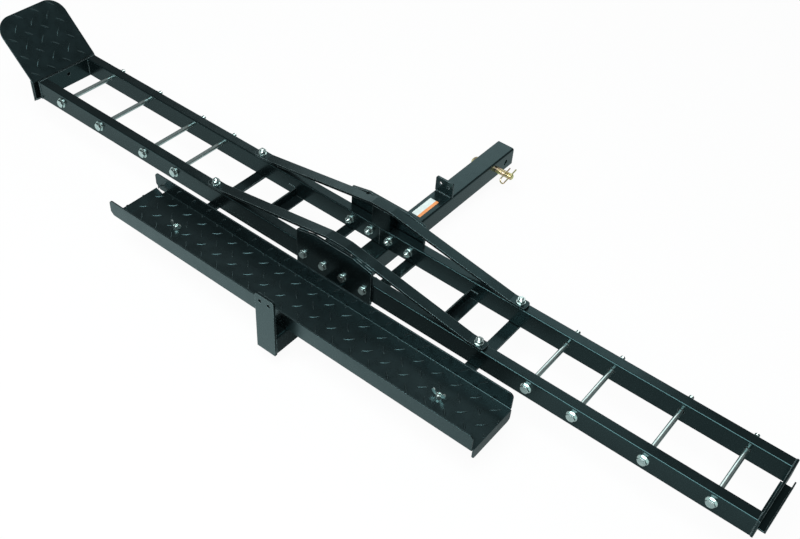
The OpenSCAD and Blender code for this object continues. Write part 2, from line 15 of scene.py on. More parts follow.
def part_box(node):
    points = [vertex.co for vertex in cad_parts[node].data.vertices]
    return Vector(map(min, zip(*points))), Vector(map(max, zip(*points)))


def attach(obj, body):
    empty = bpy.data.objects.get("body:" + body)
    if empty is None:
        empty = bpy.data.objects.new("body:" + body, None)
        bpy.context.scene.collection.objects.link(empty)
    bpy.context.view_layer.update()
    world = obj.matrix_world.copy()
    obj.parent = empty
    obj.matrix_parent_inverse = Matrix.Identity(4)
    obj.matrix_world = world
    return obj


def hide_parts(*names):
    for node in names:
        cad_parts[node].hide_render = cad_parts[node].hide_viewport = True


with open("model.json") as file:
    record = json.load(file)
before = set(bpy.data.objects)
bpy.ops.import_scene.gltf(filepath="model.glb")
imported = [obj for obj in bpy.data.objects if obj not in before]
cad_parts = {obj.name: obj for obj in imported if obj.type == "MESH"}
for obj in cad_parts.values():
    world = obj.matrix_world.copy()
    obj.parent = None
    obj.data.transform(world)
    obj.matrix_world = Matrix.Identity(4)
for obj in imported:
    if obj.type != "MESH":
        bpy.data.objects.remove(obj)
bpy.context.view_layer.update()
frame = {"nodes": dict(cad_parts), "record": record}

log = logging.getLogger("carrier")

MM = 0.001
SIDES = (-1, 1)
TRACK_Y = -505 * MM
BEAM_TOP = 25.4 * MM
STUD_X = 373.2 * MM
STUD_Y = -710 * MM

Span = tuple[float, float]
Triple = tuple[float, float, float]
RGB = Triple
Mesh = bmesh.types.BMesh
Edge = bmesh.types.BMEdge
Vert = bmesh.types.BMVert
Material = bpy.types.Material
Socket = bpy.types.NodeSocket
Number = float | Socket
Tone = RGB | Socket
Step = tuple[float, float, float, float]


class Body(Enum):
    """Bodies of the carrier that a piece can ride on."""

    CARRIER = "carrier"
    RAMP = "ramp"
    WHEEL_STOP = "wheel_stop"


class Slot(Enum):
    """Material slots of the carrier's record."""

    POWDER = "powder_coat"
    TREAD = "tread_plate"
    ZINC = "zinc_plate"
    YELLOW = "yellow_zinc"


@dataclass(frozen=True)
class Patches:
    """A noise pattern over the object's own coordinates.

    Its fields are the waves per metre, the octaves, the part of the noise's range that is used,
    and factors along X, Y and Z.
    """

    scale: float
    octaves: float = 3.0
    window: Span = (0.3, 0.7)
    stretch: Triple = (1.0, 1.0, 1.0)


class Wiring:
    """A material's or the world's node tree, with short calls for adding and joining nodes.

    The edge mask goes from 0 to 1 between two cosines of the angle from the flat to the rounded
    normal, and the corner mask between two shares of open air round the spot.
    """

    corner_samples: int = 6
    edge_window: Span = (0.995, 0.9)
    open_window: Span = (0.75, 0.95)

    def __init__(self, owner: Material | bpy.types.World) -> None:
        """Empties the owner's node tree.

        Args:
            owner: a material or a world.
        """
        owner.use_nodes = True
        self.tree = owner.node_tree
        self.tree.nodes.clear()

    def add(self, kind: str, settings: dict[str, Any] | None = None, **inputs: Any) -> bpy.types.Node:
        """Adds one node.

        Args:
            kind: the node's type, without its ShaderNode prefix.
            settings: properties of the node itself.
            inputs: values or sockets by input name, with _ for a space; a key in the form i0 is input 0.

        Returns:
            The new node.
        """
        node = self.tree.nodes.new("ShaderNode" + kind)
        for key, value in (settings or {}).items():
            setattr(node, key, value)
        for key, value in inputs.items():
            is_index = key[0] == "i" and key[1:].isdigit()
            self.feed(node.inputs[int(key[1:]) if is_index else key.replace("_", " ")], value)
        return node

    def feed(self, socket: Socket, value: Any) -> None:
        """Gives an input its value, or joins it to another node's output."""
        if isinstance(value, Socket):
            self.tree.links.new(value, socket)
        else:
            socket.default_value = value

    def noise(self, pattern: Patches) -> Socket:
        """Noise over the object's own coordinates."""
        place = self.add("TexCoord").outputs["Object"]
        mapped = self.add("Mapping", Vector=place, Scale=pattern.stretch).outputs[0]
        return self.add("TexNoise", Vector=mapped, Scale=pattern.scale, Detail=pattern.octaves).outputs[0]

    def ramp(self, factor: Socket, low: float, high: float, a: float, b: float) -> Socket:
        """Maps a factor from low to high onto a to b, held at both ends."""
        node = self.add("MapRange", {"clamp": True}, i0=factor, i1=low, i2=high, i3=a, i4=b)
        return node.outputs[0]

    def patches(self, pattern: Patches, a: float = 0.0, b: float = 1.0) -> Socket:
        """A noise pattern whose window is mapped onto a to b."""
        return self.ramp(self.noise(pattern), *pattern.window, a, b)

    def mix(self, factor: Socket, a: Tone, b: Tone) -> Socket:
        """Mixes two colours by a factor."""
        node = self.add("Mix", {"data_type": "RGBA"}, i0=factor)
        for socket, value in ((node.inputs[6], a), (node.inputs[7], b)):
            self.feed(socket, value if isinstance(value, Socket) else (*value, 1.0))
        return node.outputs[2]

    def math(self, what: str, a: Number, b: Number = 0.0) -> Socket:
        """One sum of two numbers, named as Blender's Math node names it."""
        return self.add("Math", {"operation": what}, i0=a, i1=b).outputs[0]

    def edges(self, radius: float) -> tuple[Socket, Socket]:
        """Rounds the edges of the surface in its shading.

        Args:
            radius: the rounding's radius in metres.

        Returns:
            The rounded normal, and a mask that is 1 on an edge.
        """
        rounded = self.add("Bevel", {"samples": self.corner_samples}, Radius=radius).outputs[0]
        flat = self.add("NewGeometry").outputs["Normal"]
        dot = self.add("VectorMath", {"operation": "DOT_PRODUCT"}, i0=rounded, i1=flat).outputs["Value"]
        return rounded, self.ramp(dot, *self.edge_window, 0.0, 1.0)

    def outer_corner(self, reach: float) -> Socket:
        """A mask that is 0 in inner corners, within the given reach, and 1 elsewhere."""
        settings = {"samples": self.corner_samples, "only_local": True}
        open_air = self.add("AmbientOcclusion", settings, Distance=reach).outputs["AO"]
        return self.ramp(open_air, *self.open_window, 0.0, 1.0)

    def finish(self, shader: bpy.types.Node, target: str = "OutputMaterial") -> None:
        """Joins the shader to the output."""
        self.tree.links.new(shader.outputs[0], self.add(target).inputs[0])


@dataclass(frozen=True)
class PowderCoat:
    """Semi-gloss powder coat: orange peel, faint mottling, and edges paler by wear and a painted highlight."""

    name: str
    dark: RGB = (0.0026, 0.0040, 0.0043)
    light: RGB = (0.0048, 0.0072, 0.0076)
    mottling: Patches = Patches(9.0, 4.0, (0.32, 0.68))
    speck: RGB = (0.040, 0.058, 0.060)
    speck_share: float = 0.12
    specks: Patches = Patches(900.0, 2.0, (0.55, 0.75))
    # Paler tone on outer edges: partly wear, partly a painted highlight of the rounded corners.
    edge: RGB = (0.20, 0.25, 0.255)
    edge_radius: float = 1.4 * MM
    edge_share: Span = (0.45, 0.9)
    edge_wear_and_highlight: Patches = Patches(60.0, 3.0, (0.35, 0.65))
    corner_reach: float = 2.5 * MM
    sheen: RGB = (0.44, 0.88, 0.93)
    specular: float = 0.75
    ior: float = 1.5
    gloss: Span = (0.19, 0.28)
    clouding: Patches = Patches(35.0, 5.0)
    peel: float = 0.018 * MM
    peel_strength: float = 0.25
    peel_grain: Patches = Patches(520.0, 2.5)

    def material(self) -> Material:
        """Builds the material.

        Returns:
            The finished material.
        """
        made = bpy.data.materials.new(self.name)
        w = Wiring(made)
        rounded, on_edge = w.edges(self.edge_radius)
        tone = w.mix(w.patches(self.mottling), self.dark, self.light)
        tone = w.mix(w.patches(self.specks, 0.0, self.speck_share), tone, self.speck)
        # Paler outer edges broken up by noise: partly wear, partly a painted highlight, kept out of inner
        # corners.
        worn_and_highlit = w.math("MULTIPLY", on_edge, w.patches(self.edge_wear_and_highlight, *self.edge_share))
        worn_and_highlit = w.math("MULTIPLY", worn_and_highlit, w.outer_corner(self.corner_reach))
        tone = w.mix(worn_and_highlit, tone, self.edge)
        peel = w.add(
            "Bump",
            Strength=self.peel_strength,
            Distance=self.peel,
            Height=w.noise(self.peel_grain),
            Normal=rounded,
        )
        shader = w.add(
            "BsdfPrincipled",
            Base_Color=tone,
            Roughness=w.patches(self.clouding, *self.gloss),
            Normal=peel.outputs[0],
            IOR=self.ior,
            Specular_IOR_Level=self.specular,
            Specular_Tint=(*self.sheen, 1.0),
        )
        w.finish(shader)
        return made


@dataclass(frozen=True)
class PlatedMetal:
    """Zinc plating: bright metal with cloudy colour, fine scratches and softened edges."""

    name: str
    tones: tuple[RGB, RGB, RGB]
    gloss: Span = (0.16, 0.34)
    metallic: float = 0.85
    clouds: Patches = Patches(90.0, 3.0, (0.38, 0.62))
    spots: Patches = Patches(243.0, 2.0, (0.52, 0.72))
    spot_share: float = 0.7
    edge: RGB = (0.86, 0.9, 0.89)
    edge_radius: float = 0.5 * MM
    edge_share: float = 0.4
    scratches: Patches = Patches(700.0, 3.0, (0.3, 0.75), (1.0, 1.0, 0.15))
    scratch_depth: float = 0.012 * MM
    scratch_strength: float = 0.25

    def material(self) -> Material:
        """Builds the material.

        Returns:
            The finished material.
        """
        made = bpy.data.materials.new(self.name)
        w = Wiring(made)
        rounded, on_edge = w.edges(self.edge_radius)
        tone = w.mix(w.patches(self.clouds), self.tones[0], self.tones[1])
        tone = w.mix(w.patches(self.spots, 0.0, self.spot_share), tone, self.tones[2])
        tone = w.mix(w.math("MULTIPLY", on_edge, self.edge_share), tone, self.edge)
        scratch = w.noise(self.scratches)
        bump = w.add(
            "Bump",
            Strength=self.scratch_strength,
            Distance=self.scratch_depth,
            Height=scratch,
            Normal=rounded,
        )
        shader = w.add(
            "BsdfPrincipled",
            Base_Color=tone,
            Roughness=w.ramp(scratch, *self.scratches.window, *self.gloss),
            Normal=bump.outputs[0],
            Metallic=self.metallic,
        )
        w.finish(shader)
        return made


@dataclass(frozen=True)
class LabelStock:
    """Blank vinyl label: pale film with one coloured band along its edge, both a little scuffed."""

    name: str
    band_x: float
    film: RGB = (0.84, 0.93, 0.90)
    scuffed_film: RGB = (0.5, 0.55, 0.55)
    film_share: float = 0.35
    band: RGB = (1.0, 0.38, 0.13)
    scuffed_band: RGB = (0.6, 0.2, 0.07)
    band_share: float = 0.3
    scuffs: Patches = Patches(140.0, 4.0, (0.35, 0.7))
    gloss: Span = (0.3, 0.5)
    clouding: Patches = Patches(60.0)
    grain: Patches = Patches(300.0)
    grain_depth: float = 0.02 * MM
    grain_strength: float = 0.2

    def material(self) -> Material:
        """Builds the material.

        Returns:
            The finished material.
        """
        made = bpy.data.materials.new(self.name)
        w = Wiring(made)
        across = w.add("SeparateXYZ", Vector=w.add("TexCoord").outputs["Object"]).outputs[0]
        in_band = w.math("GREATER_THAN", across, self.band_x)
        pale = w.mix(w.patches(self.scuffs, 0.0, self.film_share), self.film, self.scuffed_film)
        warm = w.mix(w.patches(self.scuffs, 0.0, self.band_share), self.band, self.scuffed_band)
        bump = w.add(
            "Bump", Strength=self.grain_strength, Distance=self.grain_depth, Height=w.noise(self.grain)
        )
        shader = w.add(
            "BsdfPrincipled",
            Base_Color=w.mix(in_band, pale, warm),
            Roughness=w.patches(self.clouding, *self.gloss),
            Normal=bump.outputs[0],
        )
        w.finish(shader)
        return made


@dataclass(frozen=True)
class FloorPaper:
    """Pale paper: white to the camera with a soft shadow, and darker by place where it is mirrored.

    In reflections it carries a painted shadow and looks teal: the mirrored brightness falls under the ramp and
    again under the near rail, rises a little at the back, is lower toward the right end, and lowest in a strip
    under the ramp's middle. Each step is two places on the floor and the factor's values at them.
    """

    name: str = "floor_paper"
    camera_share: float = 0.95
    tint: RGB = (0.86, 1.0, 1.0)
    tones: tuple[RGB, RGB] = ((0.86, 0.87, 0.87), (0.9, 0.9, 0.9))
    grain: Patches = Patches(3.0)
    under_ramp: Step = (-0.8, -0.7, 1.0, 0.55)
    under_rail: Step = (-0.68, -0.55, 0.0, 0.17)
    at_back: Step = (-0.35, 0.1, 0.0, 0.2)
    to_right: Step = (0.0, 0.6, 1.0, 0.7)
    strip_ends: Step = (0.4, 0.5, 0.78, 0.0)
    strip_front: Step = (-0.8, -0.77, 0.0, 1.0)
    strip_back: Step = (-0.57, -0.53, 1.0, 0.0)

    def mirrored(self, w: Wiring) -> Socket:
        """Works out how bright the paper is in reflections, with its painted shadow.

        Args:
            w: the paper's node tree.

        Returns:
            The brightness, by place on the floor.
        """
        x, y, _ = w.add("SeparateXYZ", Vector=w.add("TexCoord").outputs["Object"]).outputs
        shade = w.math("SUBTRACT", w.ramp(y, *self.under_ramp), w.ramp(y, *self.under_rail))
        shade = w.math("ADD", shade, w.ramp(y, *self.at_back))
        shade = w.math("MULTIPLY", shade, w.ramp(x, *self.to_right))
        strip = w.ramp(w.math("ABSOLUTE", x), *self.strip_ends)
        strip = w.math("MULTIPLY", strip, w.ramp(y, *self.strip_front))
        strip = w.math("MULTIPLY", strip, w.ramp(y, *self.strip_back))
        return w.math("MULTIPLY", shade, w.math("SUBTRACT", 1.0, strip))

    def material(self) -> Material:
        """Builds the material.

        Returns:
            The finished material.
        """
        made = bpy.data.materials.new(self.name)
        w = Wiring(made)
        path = w.add("LightPath").outputs
        seen = w.math("MAXIMUM", path["Is Camera Ray"], path["Is Transmission Ray"])
        glossy = path["Is Glossy Ray"]
        # Painted shadow: brightness taken off the paper for glossy rays, by place on the floor.
        painted_shadow_loss = w.math("MULTIPLY", glossy, w.math("SUBTRACT", 1.0, self.mirrored(w)))
        seen = w.math("MAXIMUM", w.math("MULTIPLY", seen, self.camera_share), glossy)
        lit = w.add("BsdfDiffuse", Color=w.mix(w.noise(self.grain), *self.tones)).outputs[0]
        tint = w.mix(glossy, (1.0, 1.0, 1.0), self.tint)
        glow = w.add("Emission", Color=tint, Strength=w.math("SUBTRACT", 1.0, painted_shadow_loss)).outputs[0]
        w.finish(w.add("MixShader", i0=seen, i1=lit, i2=glow))
        return made


class Shop:
    """Makes mesh pieces and keeps count of their faces."""

    def __init__(self) -> None:
        """Starts with no pieces."""
        self.faces: dict[str, int] = {}

    def piece(
        self, name: str, mesh: Mesh, body: Body, slot: Slot | None, material: Material
    ) -> bpy.types.Object:
        """Turns a bmesh into a piece that rides on a body.

        Args:
            name: the piece's name.
            mesh: its shape, in place; it is freed here.
            body: what it moves with.
            slot: the record's slot of its finish; not used here.
            material: its material.

        Returns:
            The new object, at the origin, unturned and unscaled.
        """
        bmesh.ops.recalc_face_normals(mesh, faces=mesh.faces)
        data = bpy.data.meshes.new(name)
        mesh.to_mesh(data)
        mesh.free()
        made = bpy.data.objects.new(name, data)
        bpy.context.scene.collection.objects.link(made)
        made.data.materials.append(material)
        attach(made, body.value)
        self.faces[name] = len(data.polygons)
        return made


def outline(disc: list[Vert]) -> list[Edge]:
    """The edges round a disc, each once, and in the same order in every run."""
    return list(dict.fromkeys(edge for vert in disc for edge in vert.link_edges))


def skirt(mesh: Mesh, rim: list[Edge], move: Callable[[Vector], Vector]) -> list[Edge]:
    """Extrudes a loop of edges and moves the new ring.

    Args:
        mesh: the mesh that the loop is in.
        rim: the loop's edges.
        move: gives each new vertex its place from its old one.

    Returns:
        The new ring's edges.
    """
    grown = bmesh.ops.extrude_edge_only(mesh, edges=rim)["geom"]
    for vert in [item for item in grown if isinstance(item, Vert)]:
        vert.co = move(vert.co)
    return [item for item in grown if isinstance(item, Edge)]


@dataclass
class TreadBars:
    """Raised bars of tread plate: pointed lenses on two offset square lattices.

    A lattice is its offset in pitches and its bars' angle. The shoulder and the crest are rings of
    a bar, as shares of its length, width and height, and the foot's depth is a share of its height.
    """

    length: float = 25.0 * MM
    width: float = 5.4 * MM
    height: float = 1.5 * MM
    pitch: float = 48.2 * MM
    lattices: tuple[Span, Span] = ((0.0, math.pi / 4), (0.5, -math.pi / 4))
    spare_rows: int = 3
    outline_points: int = 12
    foot_depth: float = 0.3
    shoulder: Triple = (0.94, 0.62, 0.7)
    crest: Triple = (0.78, 0.3, 1.0)

    def lens(self, mesh: Mesh, place: Matrix, height: float) -> None:
        """Adds one bar.

        Args:
            mesh: where the bar goes.
            place: the bar's place: its foot at the origin, its length along X.
            height: how far the bar stands up.
        """
        before = set(mesh.verts)
        foot = bmesh.ops.create_circle(mesh, cap_ends=True, segments=self.outline_points, radius=1.0)["verts"]
        for vert in foot:
            vert.co.y *= math.sqrt(max(0.0, 1.0 - vert.co.x**2))
            vert.co.z = -self.foot_depth
        rim = outline(foot)
        for along, across, up in ((1.0, 1.0, 0.0), self.shoulder, self.crest):
            rim = skirt(mesh, rim, lambda spot: Vector((spot.x * along, spot.y * across, up)))
        bmesh.ops.contextual_create(mesh, geom=rim)
        made = [vert for vert in mesh.verts if vert not in before]
        size = Matrix.Diagonal((self.length / 2, self.width / 2, height, 1.0))
        bmesh.ops.transform(mesh, matrix=place @ size, verts=made)

    def spots(self, first: Span, size: Span, inset: float) -> Iterator[Triple]:
        """Places of the bars on a sheet.

        Args:
            first: place of one rising bar, measured from the sheet's corner.
            size: the sheet's length and width.
            inset: least distance of a bar's middle from the sheet's edges.

        Yields:
            Each bar's place along and across the sheet, and its angle.
        """
        for layer, angle in self.lattices:
            start = [(value + layer * self.pitch) % self.pitch - self.pitch for value in first]
            counts = [int(side / self.pitch) + self.spare_rows for side in size]
            for i in range(counts[0]):
                for j in range(counts[1]):
                    along, across = start[0] + i * self.pitch, start[1] + j * self.pitch
                    if inset <= along <= size[0] - inset and inset <= across <= size[1] - inset:
                        yield along, across, angle

    def trim(self, mesh: Mesh, at: Vector, outward: Vector) -> None:
        """Cuts off what stands past a plane and closes the cut."""
        every = [*mesh.verts, *mesh.edges, *mesh.faces]
        cut = bmesh.ops.bisect_plane(mesh, geom=every, plane_co=at, plane_no=outward, clear_outer=True)
        edges = [item for item in cut["geom_cut"] if isinstance(item, Edge)]
        bmesh.ops.holes_fill(mesh, edges=edges, sides=0)


@dataclass
class RampTread(TreadBars):
    """Tread bars on the ramp's floor and up the inner faces of its flanges.

    Low and high are the floor's corners. Bars within reach of a wing nut are lower, and those past
    the start of the foot lie on its slope.
    """

    floor_z: float = 28.4 * MM
    low: Span = (-507 * MM, -771.1 * MM)
    high: Span = (499 * MM, -638.9 * MM)
    fold: float = 2.0 * MM
    rising_bar: Span = (285.5 * MM, -661.6 * MM)
    overhang: float = 4 * MM
    flange_top: float = 69.7 * MM
    flange_gap: float = 10 * MM
    end_gap: float = 18 * MM
    stud_x: float = STUD_X
    stud_y: float = STUD_Y
    wing_reach: float = 28 * MM
    low_height: float = 0.85 * MM
    foot_x: float = -487 * MM
    foot_angle: float = math.radians(20)

    def build(self, shop: Shop, material: Material) -> None:
        """Makes the bars as one piece on the ramp."""
        mesh = bmesh.new()
        first = (self.rising_bar[0] - self.low[0], self.rising_bar[1] - self.low[1])
        size = (self.high[0] - self.low[0], self.high[1] - self.low[1])
        for along, across, angle in self.spots(first, size, -self.overhang):
            spot = Vector((self.low[0] + along, self.low[1] + across, self.floor_z))
            by_stud = math.hypot(abs(spot.x) - self.stud_x, spot.y - self.stud_y) < self.wing_reach
            past = max(0.0, self.foot_x - spot.x)
            spot.z += past * math.tan(self.foot_angle)
            tilt = Matrix.Rotation(self.foot_angle if past else 0.0, 4, "Y")
            place = Matrix.Translation(spot) @ tilt @ Matrix.Rotation(angle, 4, "Z")
            self.lens(mesh, place, self.low_height if by_stud else self.height)
        for edge, out in ((self.low, -1.0), (self.high, 1.0)):
            self.trim(mesh, Vector((edge[0], 0, 0)), Vector((out, 0, 0)))
            self.trim(mesh, Vector((0, edge[1] - out * self.fold, 0)), Vector((0, out, 0)))
        self.flange_bars(mesh, first, size)
        shop.piece("ramp_tread_bars", mesh, Body.RAMP, Slot.TREAD, material)

    def flange_bars(self, mesh: Mesh, first: Span, size: Span) -> None:
        """Adds the bars on the flanges, where the sheet's pattern goes on past its folds."""
        room = self.flange_top - self.floor_z - self.flange_gap
        for out, wall in ((1.0, self.high[1]), (-1.0, self.low[1])):
            start = first[1] if out > 0 else size[1] - first[1]
            for layer, angle in self.lattices:
                rise = (start + layer * self.pitch - size[1]) % self.pitch
                if not self.flange_gap < rise < room:
                    continue
                shift = (first[0] + layer * self.pitch) % self.pitch
                turn = Matrix.Rotation(out * math.pi / 2, 4, "X") @ Matrix.Rotation(angle, 4, "Z")
                for i in range(int(size[0] / self.pitch)):
                    along = shift + i * self.pitch
                    if self.end_gap < along < size[0] - self.end_gap:
                        spot = Vector((self.low[0] + along, wall, self.floor_z + rise))
                        self.lens(mesh, Matrix.Translation(spot) @ turn, self.height)


@dataclass
class StopTread(TreadBars):
    """Tread bars on the sloping face of the wheel stop.

    The knee is the X and Z of the face's lower edge. One rising bar is placed across from the
    face's middle and up from the knee.
    """

    knee: Span = (-1008.5 * MM, 70.57 * MM)
    track_y: float = TRACK_Y
    size: Span = (195 * MM, 173 * MM)
    rising_bar: Span = (-5 * MM, 40 * MM)
    corner_radius: float = 45 * MM
    inset: float = 9 * MM
    slope: float = math.radians(45)

    def build(self, shop: Shop, material: Material) -> None:
        """Makes the bars as one piece on the wheel stop."""
        mesh = bmesh.new()
        turn = Matrix.Rotation(self.slope, 4, "Y") @ Matrix.Rotation(math.pi / 2, 4, "Z")
        first = (self.rising_bar[0] + self.size[0] / 2, self.rising_bar[1])
        for across, up, angle in self.spots(first, self.size, self.inset):
            if self.off_corner(across, up):
                continue
            middle = Vector((self.knee[0], self.track_y + across - self.size[0] / 2, self.knee[1]))
            middle += up * Vector((-math.cos(self.slope), 0, math.sin(self.slope)))
            self.lens(mesh, Matrix.Translation(middle) @ turn @ Matrix.Rotation(angle, 4, "Z"), self.height)
        shop.piece("wheel_stop_tread_bars", mesh, Body.WHEEL_STOP, Slot.TREAD, material)

    def off_corner(self, across: float, up: float) -> bool:
        """Whether a bar there would cross a rounded upper corner."""
        side = self.corner_radius - min(across, self.size[0] - across)
        top = up - (self.size[1] - self.corner_radius)
        return side > 0 and top > 0 and math.hypot(side, top) > self.corner_radius - self.inset


@dataclass(frozen=True)
class Bolt:
    """A hex bolt on its bearing face: its head along +Z, its plain shank and rolled thread along -Z.

    The thread's depth is a share of its pitch, the chamfer's slope a share of the reach past the
    head's top circle, and the fade is how many turns short of the plain shank the ridge stops.
    """

    diameter: float
    across_flats: float
    length: float
    thread: float
    pitch: float
    head: float
    sides: int = 48
    turn_steps: int = 20
    least_steps: int = 4
    face_setback: float = 0.3 * MM
    chamfer_slope: float = 0.69
    thread_depth: float = 0.6
    run_out: float = 0.4 * MM
    tail_chamfer: float = 0.8 * MM
    ridge_root: float = 0.15 * MM
    tail_gap: float = 0.5 * MM
    fade: float = 0.6

    @property
    def core(self) -> float:
        """Radius at the thread's bottom."""
        return self.diameter / 2 - self.thread_depth * self.pitch

    @property
    def face(self) -> float:
        """Radius of the flat circle on the head's top."""
        return self.across_flats / 2 - self.face_setback

    def to_hexagon(self, spot: Vector, level: float | None = None) -> Vector:
        """Moves a spot out onto the hexagon, at a level or, without one, on the head's chamfer."""
        angle = math.atan2(spot.y, spot.x)
        reach = self.across_flats / 2 / math.cos((angle % (math.pi / 3)) - math.pi / 6)
        drop = self.head - self.chamfer_slope * (reach - self.face)
        return Vector((*(spot.xy.normalized() * reach), drop if level is None else level))

    def unit(self) -> bpy.types.Mesh:
        """Builds one bolt at the origin.

        Returns:
            Its mesh.
        """
        mesh = bmesh.new()
        top = bmesh.ops.create_circle(mesh, cap_ends=True, segments=self.sides, radius=self.face)["verts"]
        for vert in top:
            vert.co.z = self.head
        rim = skirt(mesh, outline(top), self.to_hexagon)
        rim = skirt(mesh, rim, lambda spot: self.to_hexagon(spot, 0.0))
        plain_end = self.thread - self.length
        rings = (
            (self.diameter / 2, 0.0),
            (self.diameter / 2, plain_end),
            (self.core, plain_end - self.run_out),
            (self.core, self.tail_chamfer - self.length),
            (self.core - self.tail_chamfer, -self.length),
        )
        for radius, level in rings:
            rim = skirt(mesh, rim, lambda spot: Vector((*(spot.xy.normalized() * radius), level)))
        bmesh.ops.contextual_create(mesh, geom=rim)
        self.add_thread(mesh, plain_end)
        bmesh.ops.recalc_face_normals(mesh, faces=mesh.faces)
        data = bpy.data.meshes.new("bolt_unit")
        mesh.to_mesh(data)
        mesh.free()
        return data

    def add_thread(self, mesh: Mesh, plain_end: float) -> None:
        """Winds a closed ridge with a V profile round the core.

        Args:
            mesh: where the ridge goes.
            plain_end: the level at which the plain shank ends.
        """
        root, start = self.core - self.ridge_root, self.tail_gap - self.length
        spots = ((root, 0.0), (self.diameter / 2, self.pitch / 2), (root, self.pitch))
        profile = [mesh.verts.new((reach, 0.0, start + up)) for reach, up in spots]
        ridge = mesh.faces.new(profile)
        turns = (plain_end - start) / self.pitch - self.fade
        steps = max(self.least_steps, round(turns * self.turn_steps))
        bmesh.ops.spin(
            mesh,
            geom=[ridge, *ridge.edges, *profile],
            cent=(0.0, 0.0, 0.0),
            axis=(0.0, 0.0, 1.0),
            dvec=(0.0, 0.0, turns * self.pitch / steps),
            angle=turns * 2 * math.pi,
            steps=steps,
            use_merge=False,
        )


@dataclass
class Bolts:
    """All bolts and studs of the carrier, each kind as one piece in place of its solid."""

    rung_x: tuple[float, ...] = (909 * MM, 766.3 * MM, 608.5 * MM, 501 * MM)
    splice_x: tuple[float, ...] = (28 * MM, 85 * MM)
    track_y: float = TRACK_Y
    hole_z: float = 54.2 * MM
    rung_face: float = 90.9 * MM
    splice_face: float = 96.9 * MM
    brace_x: float = STUD_X
    brace_y: float = 76.2 * MM
    strap_z: float = 20.4 * MM
    stud_y: float = STUD_Y
    rung: Bolt = Bolt(11 * MM, 18 * MM, length=202.5 * MM, thread=14 * MM, pitch=1.8 * MM, head=7.04 * MM)
    splice: Bolt = Bolt(10 * MM, 16 * MM, length=48.4 * MM, thread=8 * MM, pitch=1.6 * MM, head=6.4 * MM)
    brace: Bolt = Bolt(10 * MM, 16 * MM, length=77.15 * MM, thread=9 * MM, pitch=1.6 * MM, head=6.4 * MM)
    stud: Bolt = Bolt(8 * MM, 13 * MM, length=17.4 * MM, thread=11.4 * MM, pitch=1.5 * MM, head=5.4 * MM)

    def row(self, shop: Shop, name: str, bolt: Bolt, places: list[Matrix], material: Material) -> None:
        """Sets out one kind of bolt as one piece.

        Args:
            shop: makes the piece.
            name: the solid that the piece stands for.
            bolt: the bolt.
            places: where each bolt's bearing face is, with its head along the place's Z.
            material: its material.
        """
        mesh = bmesh.new()
        unit = bolt.unit()
        for place in places:
            one = unit.copy()
            one.transform(place)
            mesh.from_mesh(one)
            bpy.data.meshes.remove(one)
        bpy.data.meshes.remove(unit)
        piece = shop.piece(name + "_threaded", mesh, Body.CARRIER, Slot.ZINC, material)
        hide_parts(name)

    def build(self, shop: Shop, material: Material) -> None:
        """Makes the four kinds."""
        head_near = Matrix.Rotation(math.pi / 2, 4, "X")
        head_far = Matrix.Rotation(-math.pi / 2, 4, "X")
        head_down = Matrix.Rotation(math.pi, 4, "X")
        rungs = [
            Matrix.Translation((side * x, self.track_y - self.rung_face, self.hole_z)) @ head_near
            for side in SIDES
            for x in self.rung_x
        ]
        splices = [
            Matrix.Translation((side * x, self.track_y + far * self.splice_face, self.hole_z))
            @ (head_far if far > 0 else head_near)
            for far in SIDES
            for side in SIDES
            for x in self.splice_x
        ]
        braces = [
            Matrix.Translation((side * self.brace_x, self.track_y + far * self.brace_y, self.strap_z))
            @ head_down
            for side in SIDES
            for far in SIDES
        ]
        studs = [
            Matrix.Translation((side * self.brace_x, self.stud_y, self.strap_z)) @ head_down
            for side in SIDES
        ]
        self.row(shop, "rung_bolts", self.rung, rungs, material)
        self.row(shop, "splice_bolts", self.splice, splices, material)
        self.row(shop, "brace_bolts", self.brace, braces, material)
        self.row(shop, "ramp_studs", self.stud, studs, material)


